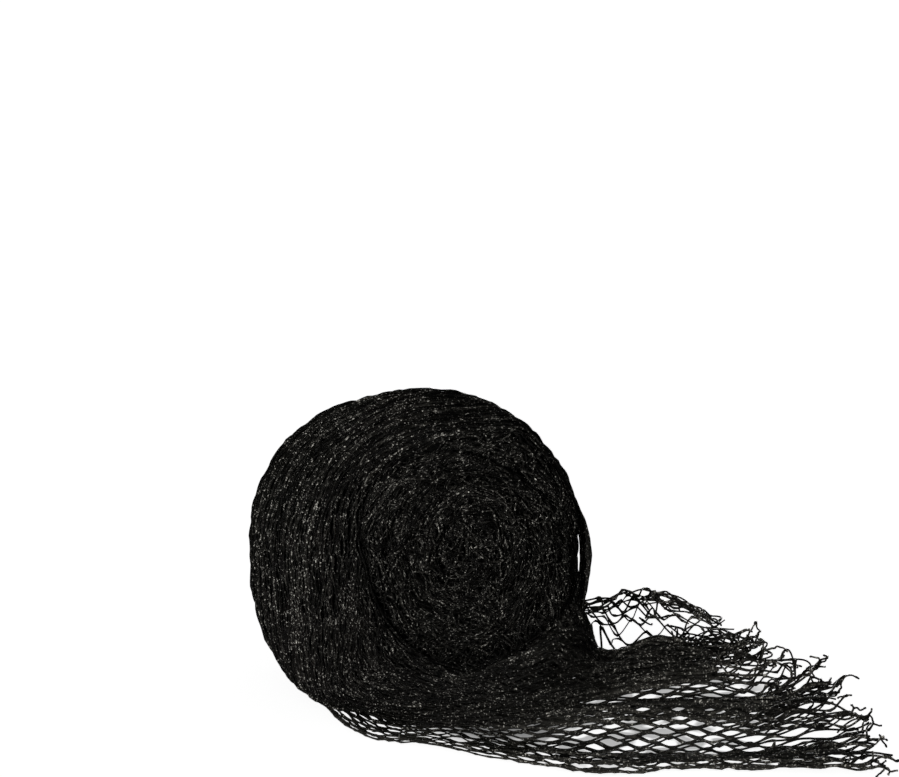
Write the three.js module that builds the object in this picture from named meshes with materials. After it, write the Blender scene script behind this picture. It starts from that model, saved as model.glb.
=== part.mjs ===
// Roll of pond netting, lying on its side with its loose end run out over the floor.
// The roll's axis is Y, its front end faces -Y and the loose end runs off towards +X.
// Millimetres, +Z up. The origin is the middle of the flat spot that the roll rests on.
import * as THREE from "three";

// Driving dimensions
const ROLL_RADIUS = 133; // outermost turn, at the middle of the roll
const ROLL_SPREAD = 1.05; // how much wider than high the soft roll lies
const REST_SINK = 1.5; // how far the roll settles into its flat spot
const TURN_STEP = 7; // what the last turn adds to the radius
const EXIT_ANGLE = 300; // degrees round the axis where the last turn leaves the roll
const LEFT_SLACK = { back: 4, front: 8 }; // how squarely the slack turns hang down, 2 being round
const RIGHT_SLACK = { back: 2.4, front: 6 }; // the same where the loose end leaves
const FLARE_REACH = 48; // how far the loosened last turns slip forwards at the foot
const CORE_RISE = 24; // how far above the axis of the outer turns the innermost turns lie
const FACE_TURN = 26; // radial spacing of the main turns that show on the two ends
const FACE_TURN_DEPTH = 2; // how far those turns stand out
const ROUND_STEPS = 60; // facets round the roll

const NET_THICKNESS = 2.2;
const TWINE_WIDTH = 3;
const SMALLEST_GAP = 4; // a mesh that is closed up tighter than this stays uncut
const MESHES_LONG = 10; // meshes from the roll to the cut end
const MESHES_WIDE = 16; // meshes from the back edge to the front edge

// Meridian of the roll, from the middle of the back end to the middle of the front end.
// share is the radius as a share of ROLL_RADIUS, y the place along the axis, and facets how many
// facets lead on to the next row.
const MERIDIAN = [
  { share: 0.0, y: 86, facets: 5 },
  { share: 0.24, y: 94, facets: 5 },
  { share: 0.5, y: 98, facets: 4 },
  { share: 0.7, y: 97, facets: 3 },
  { share: 0.84, y: 92, facets: 2 },
  { share: 0.93, y: 82, facets: 2 },
  { share: 0.98, y: 64, facets: 2 },
  { share: 1.0, y: 34, facets: 2 },
  { share: 1.0, y: 0, facets: 2 },
  { share: 0.995, y: -40, facets: 2 },
  { share: 0.975, y: -68, facets: 2 },
  { share: 0.93, y: -84, facets: 2 },
  { share: 0.86, y: -94, facets: 2 },
  { share: 0.77, y: -100, facets: 3 },
  { share: 0.62, y: -103, facets: 4 },
  { share: 0.44, y: -103, facets: 5 },
  { share: 0.22, y: -100, facets: 5 },
  { share: 0.0, y: -93, facets: 0 },
];

// Where slack turns stand off the roll: the angle of each swelling, how far it spreads round the
// axis to either side in degrees, how high it is, below 0 where the turns are drawn in, and the two
// places along the axis between which it grows to that height.
const SWELLINGS = [
  { angle: 66, spread: 36, height: 7, from: 80, to: 10 },
  { angle: 63, spread: 11, height: 6, from: 50, to: 0 },
  { angle: 94, spread: 26, height: -6, from: 40, to: 80 },
  { angle: 178, spread: 42, height: 6, from: -40, to: 50 },
];

// Lines along the loose end, from its back edge to its front edge, one for each fold's crest or foot.
// across counts the share of the net's width. Each line runs from x0, y0, z0 beside the roll through
// xm, ym, zm half way to x1, y1, z1 at the cut edge.
const FOLD_LINES = [
  { across: 0.0, x0: 60, y0: 62, z0: 1, xm: 205, ym: 64, zm: 3, x1: 306, y1: 46, z1: 1 },
  { across: 0.146, x0: 120, y0: 28, z0: 43, xm: 220, ym: 9, zm: 41, x1: 310, y1: -8, z1: 8 },
  { across: 0.261, x0: 127, y0: -26, z0: 29, xm: 232, ym: -25, zm: 5, x1: 328, y1: -44, z1: 2 },
  { across: 0.342, x0: 132, y0: -68, z0: 43, xm: 242, ym: -54, zm: 18, x1: 345, y1: -70, z1: 5 },
  { across: 0.396, x0: 125, y0: -92, z0: 42, xm: 239, ym: -72, zm: 15, x1: 352, y1: -90, z1: 4 },
  { across: 0.45, x0: 99, y0: -124, z0: 21, xm: 224, ym: -98, zm: 8, x1: 352, y1: -114, z1: 3 },
  { across: 0.5, x0: 50, y0: -132, z0: 5, xm: 200, ym: -118, zm: 2, x1: 350, y1: -138, z1: 2 },
  { across: 0.57, x0: 36, y0: -123, z0: 4.8, xm: 178, ym: -166, zm: 2, x1: 338, y1: -166, z1: 2 },
  { across: 0.637, x0: 20, y0: -124, z0: 4.8, xm: 165, ym: -182, zm: 9, x1: 324, y1: -203, z1: 6 },
  { across: 0.691, x0: 4, y0: -125, z0: 5, xm: 150, ym: -196, zm: 2, x1: 311, y1: -242, z1: 3 },
  { across: 0.786, x0: -14, y0: -123, z0: 5, xm: 124, ym: -232, zm: 2, x1: 300, y1: -280, z1: 3 },
  { across: 0.887, x0: -32, y0: -118, z0: 2, xm: 94, ym: -267, zm: 2, x1: 292, y1: -332, z1: 3 },
  { across: 0.955, x0: -60, y0: -106, z0: 2, xm: 73, ym: -292, zm: 8, x1: 284, y1: -370, z1: 5 },
  { across: 1.0, x0: -96, y0: -94, z0: 1, xm: 49, ym: -297, zm: 2, x1: 280, y1: -392, z1: 1 },
];

const netBlack = { color: 0x0c0c0b, metalness: 0 };
const rollMaterial = new THREE.MeshStandardMaterial({ ...netBlack, roughness: 0.55 });
const looseEndMaterial = new THREE.MeshStandardMaterial({ ...netBlack, roughness: 0.5 });

const radians = THREE.MathUtils.degToRad;
const { smoothstep, lerp, euclideanModulo } = THREE.MathUtils;

// How far the last turns have slipped forwards at an angle round the axis, from 0 to 1.
function flareShare(degrees) {
  const angle = euclideanModulo(degrees, 360);
  return smoothstep(angle, 215, 272) * (1 - smoothstep(angle, 290, 340));
}

// How far the slack last turns stand out from the round below the axis, as a factor on the radius.
function slackFactor(angle, y) {
  if (Math.sin(angle) > 0) return 1;
  const slack = Math.cos(angle) < 0 ? LEFT_SLACK : RIGHT_SLACK;
  const power = lerp(slack.back, slack.front, smoothstep(-y, -60, 40));
  const side = Math.abs(Math.cos(angle)) ** power;
  const foot = Math.abs(Math.sin(angle)) ** power;
  return (side + foot) ** (-1 / power);
}

// How far the swellings lift the last turn at a place on the roll.
function swell(degrees, y) {
  return SWELLINGS.reduce((sum, { angle, spread, height, from, to }) => {
    const off = euclideanModulo(degrees - angle + 180, 360) - 180;
    const along = from < to ? smoothstep(y, from, to) : smoothstep(-y, -from, -to);
    return sum + height * along * Math.exp(-((off / spread) ** 2));
  }, 0);
}

// Moves a point of the plain turned roll to its wound form.
function woundPoint(point) {
  const plainRadius = Math.hypot(point.x, point.z);
  const angle = Math.atan2(point.z, point.x);
  const degrees = THREE.MathUtils.radToDeg(angle);
  const share = plainRadius / ROLL_RADIUS;
  const outerShare = smoothstep(share, 0.66, 0.94);

  // The last turn winds inwards from where it leaves the roll.
  const turnsIn = euclideanModulo(EXIT_ANGLE - degrees, 360) / 360;
  let radius = plainRadius - TURN_STEP * turnsIn * outerShare;
  radius += outerShare * (swell(degrees, point.y) + 0.9 * Math.sin(5 * angle + point.y / 26));
  radius *= lerp(1, slackFactor(angle, point.y), outerShare);

  // The loosened turns slip towards the front, the more the nearer the front end they lie.
  const slipShare = smoothstep(share, 0.64, 0.9) * smoothstep(-point.y, -70, 80);
  let y = point.y - FLARE_REACH * flareShare(degrees) * slipShare;

  // The turns show on each end as low spiral ridges.
  const face = Math.sign(point.y) * smoothstep(Math.abs(point.y), 78, 92);
  const wander = 0.5 * Math.sin(2 * angle + 1) + 0.4 * Math.sin(3 * angle);
  const ridge = Math.cos((2 * Math.PI * plainRadius) / FACE_TURN - angle + wander);
  const ridgeShare = smoothstep(share, 0.06, 0.16) * (1 - smoothstep(share, 0.68, 0.84));
  y += face * FACE_TURN_DEPTH * ridge * ridgeShare;

  const x = ROLL_SPREAD * radius * Math.cos(angle);
  // The inner turns are held up by the slack that gathers below them.
  const coreRise = CORE_RISE * (1 - Math.min(share, 1) ** 2.6);
  const height = radius * Math.sin(angle) + ROLL_RADIUS - REST_SINK + coreRise;
  return new THREE.Vector3(x, y, Math.max(height, 0));
}

// Moves every vertex of a geometry, in place.
function shapeVertices(geometry, move) {
  const position = geometry.getAttribute("position");
  const point = new THREE.Vector3();
  for (let i = 0; i < position.count; i++) {
    point.fromBufferAttribute(position, i);
    const moved = move(point);
    position.setXYZ(i, moved.x, moved.y, moved.z);
  }
  geometry.computeVertexNormals();
  return geometry;
}

// The wound netting: a turned body whose points follow the turns.
function woundRoll() {
  const curve = new THREE.SplineCurve(
    MERIDIAN.map(({ share, y }) => new THREE.Vector2(share * ROLL_RADIUS, y)),
  );
  const last = MERIDIAN.length - 1;
  const profile = MERIDIAN.flatMap(({ facets }, row) =>
    Array.from({ length: facets }, (_, step) => curve.getPoint((row + step / facets) / last)),
  );
  profile.push(curve.getPoint(1));
  profile.reverse();
  // The first facet's edge lies where the last turn leaves.
  const start = radians(90 - EXIT_ANGLE);
  const turned = new THREE.LatheGeometry(profile, ROUND_STEPS, start);
  return shapeVertices(turned, woundPoint);
}

// A smooth curve through one column of the fold lines, read at a share of the net's width.
function acrossFolds(column, across) {
  const last = FOLD_LINES.length - 1;
  let row = 0;
  while (row < last - 1 && across > FOLD_LINES[row + 1].across) row++;
  const value = (i) => FOLD_LINES[THREE.MathUtils.clamp(i, 0, last)][column];
  const place = (i) => FOLD_LINES[THREE.MathUtils.clamp(i, 0, last)].across;
  const slope = (i) => {
    const run = place(i + 1) - place(i - 1);
    return run > 0 ? (value(i + 1) - value(i - 1)) / run : 0;
  };
  const run = place(row + 1) - place(row);
  const t = (across - place(row)) / run;
  const t2 = t * t;
  const t3 = t2 * t;
  return (
    (2 * t3 - 3 * t2 + 1) * value(row) +
    (t3 - 2 * t2 + t) * run * slope(row) +
    (3 * t2 - 2 * t3) * value(row + 1) +
    (t3 - t2) * run * slope(row + 1)
  );
}

// A curve through three values, at the start, half way and at the end.
function throughThree(start, middle, end, t) {
  return start * (1 - t) * (1 - 2 * t) + middle * 4 * t * (1 - t) + end * t * (2 * t - 1);
}

// A point in the middle of the net's thickness: along runs from the roll to the cut end.
function looseEndPoint(along, across) {
  const at = (column) => acrossFolds(column, across);
  const height = throughThree(at("z0"), at("zm"), at("z1"), along);
  return new THREE.Vector3(
    throughThree(at("x0"), at("xm"), at("x1"), along),
    throughThree(at("y0"), at("ym"), at("y1"), along),
    Math.max(height, NET_THICKNESS / 2),
  );
}

// The two faces of the net at a knot, half its thickness to either side.
function netFaces(along, across) {
  const step = 0.004;
  const middle = looseEndPoint(along, across);
  const ahead = looseEndPoint(Math.min(along + step, 1), across);
  const behind = looseEndPoint(Math.max(along - step, 0), across);
  const front = looseEndPoint(along, Math.min(across + step, 1));
  const back = looseEndPoint(along, Math.max(across - step, 0));
  const up = ahead.sub(behind).cross(back.sub(front)).normalize();
  const half = up.multiplyScalar(NET_THICKNESS / 2);
  const over = middle.clone().add(half);
  const under = middle.clone().sub(half);
  under.z = Math.max(under.z, 0);
  return { over, under };
}

// The loose end: a diamond net whose meshes are cut through wherever they lie open.
function looseEnd() {
  const rows = 2 * MESHES_LONG;
  const columns = 2 * MESHES_WIDE;
  const points = [];
  const triangles = [];
  const addPoint = (p) => points.push(p) - 1;
  const addQuad = (a, b, c, d) => triangles.push(a, b, c, a, c, d);

  const knots = new Map();
  const knot = (i, j) => {
    const key = i * (columns + 1) + j;
    if (!knots.has(key)) {
      const { over, under } = netFaces(i / rows, j / columns);
      knots.set(key, { over: addPoint(over), under: addPoint(under) });
    }
    return knots.get(key);
  };

  const isMesh = (i, j) => i > 0 && j > 0 && i < rows && j < columns && (i + j) % 2 === 1;
  const corners = [[-1, 0], [0, 1], [1, 0], [0, -1]];
  const neighbours = [[-1, 1], [1, 1], [1, -1], [-1, -1]];

  for (let i = 1; i < rows; i++) {
    for (let j = 1; j < columns; j++) {
      if (!isMesh(i, j)) continue;
      const rim = corners.map(([di, dj]) => knot(i + di, j + dj));
      const inner = cutMesh(rim, points, addPoint);
      rim.forEach((from, side) => {
        const to = rim[(side + 1) % 4];
        if (inner) {
          const near = inner[side];
          const far = inner[(side + 1) % 4];
          addQuad(from.over, to.over, far.over, near.over);
          addQuad(from.under, near.under, far.under, to.under);
          addQuad(near.over, far.over, far.under, near.under);
        }
        const [di, dj] = neighbours[side];
        if (!isMesh(i + di, j + dj)) addQuad(from.over, from.under, to.under, to.over);
      });
      if (!inner) {
        addQuad(...rim.map((corner) => corner.over));
        addQuad(...rim.map((corner) => corner.under).reverse());
      }
    }
  }
  const geometry = new THREE.BufferGeometry().setFromPoints(points);
  geometry.setIndex(triangles);
  geometry.computeVertexNormals();
  return geometry;
}

// The four inner corners of a mesh's twine frame, or null where the mesh is closed up.
function cutMesh(rim, points, addPoint) {
  const middleOf = (face) =>
    rim.reduce((sum, corner) => sum.add(points[corner[face]]), new THREE.Vector3()).divideScalar(4);
  const over = rim.map((corner) => points[corner.over]);
  const halfLong = over[0].distanceTo(over[2]) / 2;
  const halfWide = over[1].distanceTo(over[3]) / 2;
  const toTwine = (halfLong * halfWide) / Math.hypot(halfLong, halfWide);
  const gap = toTwine - TWINE_WIDTH / 2;
  if (2 * gap < SMALLEST_GAP) return null;
  const middles = { over: middleOf("over"), under: middleOf("under") };
  const inwards = (corner, face) =>
    addPoint(middles[face].clone().lerp(points[corner[face]], gap / toTwine));
  return rim.map((corner) => ({ over: inwards(corner, "over"), under: inwards(corner, "under") }));
}

function named(name, geometry, material) {
  const mesh = new THREE.Mesh(geometry, material);
  mesh.name = name;
  return mesh;
}

const nettingRoll = new THREE.Group();
nettingRoll.add(named("wound_roll", woundRoll(), rollMaterial));
nettingRoll.add(named("loose_end", looseEnd(), looseEndMaterial));

export default nettingRoll;
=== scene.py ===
"""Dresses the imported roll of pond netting: the twine turns of the roll and the loose net on the floor."""

from __future__ import annotations

import logging
import math
from dataclasses import dataclass, field
from enum import Enum
from typing import Any

import bpy
import numpy as np
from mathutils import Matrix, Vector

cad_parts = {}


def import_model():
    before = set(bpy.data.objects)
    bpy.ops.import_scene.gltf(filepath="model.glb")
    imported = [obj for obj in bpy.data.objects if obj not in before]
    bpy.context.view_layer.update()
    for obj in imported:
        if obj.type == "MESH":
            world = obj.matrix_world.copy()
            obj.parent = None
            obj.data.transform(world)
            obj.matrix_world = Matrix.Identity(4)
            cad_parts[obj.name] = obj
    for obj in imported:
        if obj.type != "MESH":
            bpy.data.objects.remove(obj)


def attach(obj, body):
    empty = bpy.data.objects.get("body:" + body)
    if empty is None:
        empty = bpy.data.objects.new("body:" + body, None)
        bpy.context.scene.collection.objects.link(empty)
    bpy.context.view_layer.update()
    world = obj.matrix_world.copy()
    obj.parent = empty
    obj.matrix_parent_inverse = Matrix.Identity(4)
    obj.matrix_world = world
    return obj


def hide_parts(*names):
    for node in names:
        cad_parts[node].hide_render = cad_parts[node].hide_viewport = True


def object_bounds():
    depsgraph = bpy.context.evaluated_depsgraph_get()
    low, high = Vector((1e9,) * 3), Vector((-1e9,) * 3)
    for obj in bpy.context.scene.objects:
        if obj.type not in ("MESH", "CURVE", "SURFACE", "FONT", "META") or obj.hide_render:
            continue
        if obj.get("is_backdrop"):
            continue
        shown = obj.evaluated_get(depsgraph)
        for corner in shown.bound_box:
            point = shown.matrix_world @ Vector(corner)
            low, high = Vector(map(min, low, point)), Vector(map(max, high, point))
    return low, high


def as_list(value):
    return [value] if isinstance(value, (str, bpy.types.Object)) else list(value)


LOG = logging.getLogger("pond_netting")
FLOOR_CLEARANCE = 0.0002
MILLIMETRE = 0.001
NEIGHBOURS = (-1, 0, 1, 2)
SHORTEST = 1e-12
NOISE_ROUGHNESS = 0.55
MIX_SHARE, MIX_LOW, MIX_HIGH = 0, 6, 7
TONE_LAYER = "tone"
TWINE_MAP = "twine"
Array = np.ndarray
Random = np.random.Generator
Colour = tuple[float, float, float]
Place = tuple[float, float, float]
Span = tuple[float, float]
Material = bpy.types.Material
Piece = bpy.types.Object
Socket = bpy.types.NodeSocket


def smoothstep(value: Array | float, low: float, high: float) -> Array:
    """Eases from 0 at low to 1 at high."""
    share = np.clip((np.asarray(value, float) - low) / (high - low), 0.0, 1.0)
    return share * share * (3 - 2 * share)


def plateau(value: Array | float, rise: Span, fall: Span) -> Array:
    """Eases from 0 to 1 over the rise and back to 0 over the fall."""
    return smoothstep(value, *rise) * (1 - smoothstep(value, *fall))


def bump_of(value: Array | float, middle: float, reach: float) -> Array:
    """A smooth hump of height 1 at middle that ends at reach on both sides."""
    return 1 - smoothstep(np.abs(np.asarray(value, float) - middle), 0.0, reach)


def turn_away(angle: Array, middle: float) -> Array:
    """The shortest turn in degrees from middle to each angle."""
    return (np.asarray(angle, float) - middle + 180.0) % 360.0 - 180.0


def unit(vectors: Array) -> Array:
    """Scales vectors in the last axis to length 1."""
    return vectors / np.maximum(np.linalg.norm(vectors, axis=-1, keepdims=True), SHORTEST)


def cubic(four: list[Array], share: Array) -> Array:
    """Reads a smooth curve between the second and the third of four even values.

    Args:
        four: The values, one after the other.
        share: The share of the way from the second to the third.

    Returns:
        The values there.
    """
    before, first, second, after = four
    leave, arrive = (second - before) / 2, (after - first) / 2
    bend = (2 * first - 2 * second + leave + arrive) * share**3
    bow = (-3 * first + 3 * second - 2 * leave - arrive) * share**2
    return bend + bow + leave * share + first


def spline(values: Array, place: Array) -> Array:
    """Reads a smooth curve through evenly numbered values.

    Args:
        values: The values at places 0, 1, 2 and so on, in the first axis.
        place: Where to read, as fractional places.

    Returns:
        The values there, with place's shape in front.
    """
    last = len(values) - 1
    place = np.clip(np.asarray(place, float), 0.0, last)
    at = np.minimum(place.astype(int), last - 1)
    share = (place - at).reshape(place.shape + (1,) * (values.ndim - 1))
    return cubic([values[np.clip(at + ahead, 0, last)] for ahead in NEIGHBOURS], share)


@dataclass(frozen=True)
class Waves:
    """Smooth waviness along lanes of twine: its height and the wave lengths that are summed."""

    height: float
    lengths: tuple[float, ...]
    paces: Span = (0.8, 1.25)

    def read(self, rng: Random, run: Array, lanes: int = 1) -> Array:
        """Reads the waves, with a phase of its own for each lane.

        Args:
            rng: The seeded source of the phases.
            run: Where to read, in the same unit as the lengths, as lanes by points.
            lanes: How many lanes there are.

        Returns:
            The waves, as lanes by points.
        """
        total = np.zeros(np.broadcast_shapes(run.shape, (lanes, 1)))
        for length in self.lengths:
            pace = rng.uniform(*self.paces, (lanes, 1))
            total += np.sin(run * (math.tau / length) * pace + rng.uniform(0, math.tau, (lanes, 1)))
        return self.height * (total / math.sqrt(len(self.lengths)))


class RollEnd(Enum):
    """An end of the roll."""

    FRONT = "front"
    BACK = "back"


class Lit(Enum):
    """The pieces that a lamp lights."""

    ALL = "all"
    NET = "net"


class Term:
    """A number socket of a material, on which Python's operators add Math nodes."""

    def __init__(self, desk: ShaderDesk, socket: Socket) -> None:
        """Wraps a socket of the desk's material."""
        self.desk = desk
        self.socket = socket

    def math(self, operation: str, first: Any, second: Any = 0.0) -> Term:
        """Adds one Math node on two values or terms."""
        return self.desk.term("ShaderNodeMath", {"operation": operation}, {0: first, 1: second}, "Value")

    def __add__(self, other: Any) -> Term:
        """Adds a value or term."""
        return self.math("ADD", self, other)

    def __radd__(self, other: Any) -> Term:
        """Adds this term to a value."""
        return self.math("ADD", other, self)

    def __sub__(self, other: Any) -> Term:
        """Takes a value or term away."""
        return self.math("SUBTRACT", self, other)

    def __rsub__(self, other: Any) -> Term:
        """Takes this term away from a value."""
        return self.math("SUBTRACT", other, self)

    def __mul__(self, other: Any) -> Term:
        """Multiplies by a value or term."""
        return self.math("MULTIPLY", self, other)

    def __rmul__(self, other: Any) -> Term:
        """Multiplies a value by this term."""
        return self.math("MULTIPLY", other, self)

    def sine(self) -> Term:
        """The sine of this term in radians."""
        return self.math("SINE", self)

    def size(self) -> Term:
        """This term without its sign."""
        return self.math("ABSOLUTE", self)

    def at_least(self, other: Any) -> Term:
        """The larger of this term and a value or term."""
        return self.math("MAXIMUM", self, other)

    def at_most(self, other: Any) -> Term:
        """The smaller of this term and a value or term."""
        return self.math("MINIMUM", self, other)


class ShaderDesk:
    """Builds the nodes of one material."""

    def __init__(self, name: str) -> None:
        """Starts an empty material.

        Args:
            name: The material's name.
        """
        self.material = bpy.data.materials.new(name)
        self.material.use_nodes = True
        self.tree = self.material.node_tree
        self.tree.nodes.clear()

    def node(self, kind: str, settings: dict[str, Any], sockets: dict[str | int, Any]) -> bpy.types.Node:
        """Adds a node, sets it and fills its sockets.

        Args:
            kind: The node's type.
            settings: Its own settings, set first.
            sockets: Values, terms or sockets for its inputs, by name or number.

        Returns:
            The node.
        """
        made = self.tree.nodes.new(kind)
        for key, value in settings.items():
            setattr(made, key, value)
        for key, value in sockets.items():
            if isinstance(value, Term):
                value = value.socket
            if isinstance(value, Socket):
                self.tree.links.new(value, made.inputs[key])
            else:
                made.inputs[key].default_value = value
        return made

    def term(self, kind: str, settings: dict[str, Any], sockets: dict[str | int, Any], out: str) -> Term:
        """Adds a node and wraps its output of that name as a term."""
        return Term(self, self.node(kind, settings, sockets).outputs[out])

    def place(self) -> Socket:
        """The Object coordinates of the piece."""
        return self.node("ShaderNodeTexCoord", {}, {}).outputs["Object"]

    def parts(self, vector: Socket) -> list[Term]:
        """The three parts of a vector."""
        return [Term(self, out) for out in self.node("ShaderNodeSeparateXYZ", {}, {0: vector}).outputs]

    def lay(self) -> list[Term]:
        """The run along the twine and the share of the way round it, from its own UV map."""
        return self.parts(self.node("ShaderNodeUVMap", {"uv_map": TWINE_MAP}, {}).outputs[0])

    def noise(self, size: float, detail: float = 2.0, place: Socket | None = None) -> Term:
        """A noise from 0 to 1, with features of this size in Object coordinates or at another place."""
        sockets = {"Vector": place or self.place(), "Scale": 1 / size, "Detail": detail}
        return self.term("ShaderNodeTexNoise", {}, sockets | {"Roughness": NOISE_ROUGHNESS}, "Fac")

    def vector(self, *parts: Term | float) -> Socket:
        """Joins three terms or values to a vector."""
        return self.node("ShaderNodeCombineXYZ", {}, dict(enumerate(parts))).outputs[0]

    def mix(self, share: Term, low: Colour | Socket, high: Colour) -> Socket:
        """Mixes two colours.

        Args:
            share: How much of the second colour shows.
            low: The first colour, or the socket that gives it.
            high: The second colour.

        Returns:
            The mixed colour's socket.
        """
        settings = {"data_type": "RGBA", "clamp_factor": True}
        below = low if isinstance(low, Socket) else (*low, 1.0)
        sockets = {MIX_SHARE: share, MIX_LOW: below, MIX_HIGH: (*high, 1.0)}
        return self.node("ShaderNodeMix", settings, sockets).outputs[2]

    def bump(self, height: Term, distance: float, strength: float) -> Socket:
        """The normal of a relief of this height."""
        sockets = {"Strength": strength, "Distance": distance, "Height": height}
        return self.node("ShaderNodeBump", {}, sockets).outputs[0]

    def close(self, **sockets: Any) -> Material:
        """Ends the material in a Principled shader.

        Args:
            sockets: Its inputs by name, with underscores for spaces.

        Returns:
            The finished material.
        """
        filled = {key.replace("_", " "): value for key, value in sockets.items()}
        shader = self.node("ShaderNodeBsdfPrincipled", {}, filled)
        self.node("ShaderNodeOutputMaterial", {}, {"Surface": shader.outputs[0]})
        return self.material


@dataclass(frozen=True)
class TwineFinish:
    """Black knitted polyethylene twine: its stitches and scuffed dashes, painted glints, painted shade in
    pits, painted bounce light near the floor and waxy gloss.

    Sizes are in metres. The other numbers weigh what goes into the scuffing, the painted glints, gloss and
    relief.
    """

    name: str
    deep: Colour = (0.0013, 0.00123, 0.0010)
    worn_and_lit: Colour = (0.0140, 0.0132, 0.0112)
    # The colour of the painted glints.
    painted_glint: Colour = (0.620, 0.600, 0.540)
    # The colour of the painted shade in pits.
    dark: Colour = (0.0004, 0.0004, 0.0003)
    stitch: float = 0.0036
    fuzz: float = 0.0022
    patch: float = 0.03
    dash: float = 0.0048
    dash_own: float = 97.0
    dash_gain: float = 3.8
    dash_start: float = 1.2
    wear_tone: float = 0.9
    wear_patch: float = 0.5
    wear_start: float = 0.30
    wear_base: float = 0.2
    wear_knit: float = 0.5
    wear_fuzz: float = 0.8
    # Painted bounce light near the floor: its strength and the height where it ends.
    bounce: float = 0.0
    bounce_height: float = 0.010
    # The painted glints along the twine: their size, spread and how often they show.
    glint_long: float = 0.0017
    glint_round: float = 3.0
    glint_own: float = 60.0
    glint_start: float = 0.52
    glint_full: float = 0.94
    glint_patch: float = 0.35
    glint_tone: float = 0.25
    glint_knit: float = 0.1
    glint_dash: float = 0.12
    glint_rare: float = 0.10
    pit: float = 0.0075
    pit_start: float = 0.42
    pit_gain: float = 7.0
    pitted: float = 1.0
    smooth: float = 0.35
    rough: float = 0.55
    rough_fuzz: float = 0.8
    rough_tone: float = 0.3
    gloss: float = 0.04
    relief: float = 0.0016
    relief_strength: float = 0.8
    relief_knit: float = 0.4
    relief_fuzz: float = 1.2

    def build(self) -> Material:
        """Builds the twine's material.

        Returns:
            The material, which follows the twine's own UV map and tone attribute.
        """
        desk = ShaderDesk(self.name)
        along, around, _ = desk.lay()
        tone = desk.term("ShaderNodeAttribute", {"attribute_name": TONE_LAYER}, {}, "Fac")
        turn, twist = along * (math.tau / self.stitch), around * math.tau
        knit = ((turn + twist).sine().size() + (turn - twist).sine().size()) * 0.5
        fuzz, patches = desk.noise(self.fuzz, 1.0), desk.noise(self.patch)
        own = desk.vector(along * (1 / self.dash), tone * self.dash_own, 0.0)
        dashes = desk.noise(1.0, 1.0, own) * self.dash_gain - self.dash_start
        grain = self.wear_base + knit * self.wear_knit + fuzz * self.wear_fuzz
        # The tone attribute carries painted shade from the creases and near the roll, so this share holds
        # both scuffing and painted shade.
        worn_and_lit = tone * tone * self.wear_tone + patches * self.wear_patch - self.wear_start
        # Painted bounce light: the twine is painted lighter close to the floor, fading out by bounce_height.
        low = (1 - desk.parts(desk.place())[2] * (1 / self.bounce_height)).at_least(0.0)
        colour = desk.mix(worn_and_lit * grain * dashes + low * self.bounce, self.deep, self.worn_and_lit)
        # Painted glints: pale marks mixed into the base colour along the twine, standing in for highlights.
        own = desk.vector(along * (1 / self.glint_long), around * self.glint_round, tone * self.glint_own)
        glints = desk.noise(1.0, 1.0, own) - self.glint_start
        glints = glints * (1 / (self.glint_full - self.glint_start))
        glints = glints - (1 - patches) * self.glint_patch - (1 - tone) * self.glint_tone
        glints = glints + knit * self.glint_knit + dashes * self.glint_dash - self.glint_rare
        colour = desk.mix(glints, colour, self.painted_glint)
        # Painted shade: random dark spots standing in for the shade in pits of the twine.
        pits = (self.pit_start - desk.noise(self.pit, 1.0)) * (self.pit_gain * self.pitted)
        colour = desk.mix(pits, colour, self.dark)
        rough = self.smooth + (self.rough - self.smooth) * (fuzz * self.rough_fuzz + tone * self.rough_tone)
        relief = knit * self.relief_knit + fuzz * self.relief_fuzz
        normal = desk.bump(relief, self.relief, self.relief_strength)
        return desk.close(Base_Color=colour, Roughness=rough, Specular_IOR_Level=self.gloss, Normal=normal)


@dataclass(frozen=True)
class HeartFinish:
    """The depth between the turns, seen only through the outer twines: painted shade, with the ridges of the
    turns painted lighter.
    """

    name: str
    deep: Colour = (0.0006, 0.0006, 0.0005)
    lit: Colour = (0.0024, 0.0022, 0.0019)
    turn: float = 0.0031
    sway: float = 9.0
    fuzz: float = 0.0045
    patch: float = 0.022
    smooth: float = 0.6
    rough_fuzz: float = 0.2
    gloss: float = 0.04
    relief: float = 0.002
    relief_ridge: float = 0.8

    def build(self) -> Material:
        """Builds the material of the inner turns.

        Returns:
            The material, with fine twine ridges along the turns.
        """
        desk = ShaderDesk(self.name)
        across = desk.lay()[1]
        fuzz, patches = desk.noise(self.fuzz), desk.noise(self.patch)
        ridges = (across * (math.tau / self.turn) + patches * self.sway).sine() * 0.5 + 0.5
        # Painted shade with painted light: dark between the turns, lighter along their ridges.
        colour = desk.mix(ridges * fuzz, self.deep, self.lit)
        rough = fuzz * self.rough_fuzz + self.smooth
        normal = desk.bump(ridges * self.relief_ridge + fuzz, self.relief, 1.0)
        return desk.close(Base_Color=colour, Roughness=rough, Specular_IOR_Level=self.gloss, Normal=normal)


@dataclass(frozen=True)
class FloorPatch:
    """A soft ellipse of painted shade on the floor: its middle, its reach and how fast it fades."""

    x: float
    y: float
    reach_x: float
    reach_y: float
    fade: float

    def within(self, desk: ShaderDesk) -> Term:
        """How far inside the ellipse a place lies.

        Args:
            desk: The floor's desk.

        Returns:
            The fade's value in the middle, 0 on the ellipse and less outside.
        """
        right, back, _ = desk.parts(desk.place())
        right, back = (right - self.x) * (1 / self.reach_x), (back - self.y) * (1 / self.reach_y)
        return (1 - right * right - back * back) * self.fade


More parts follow.
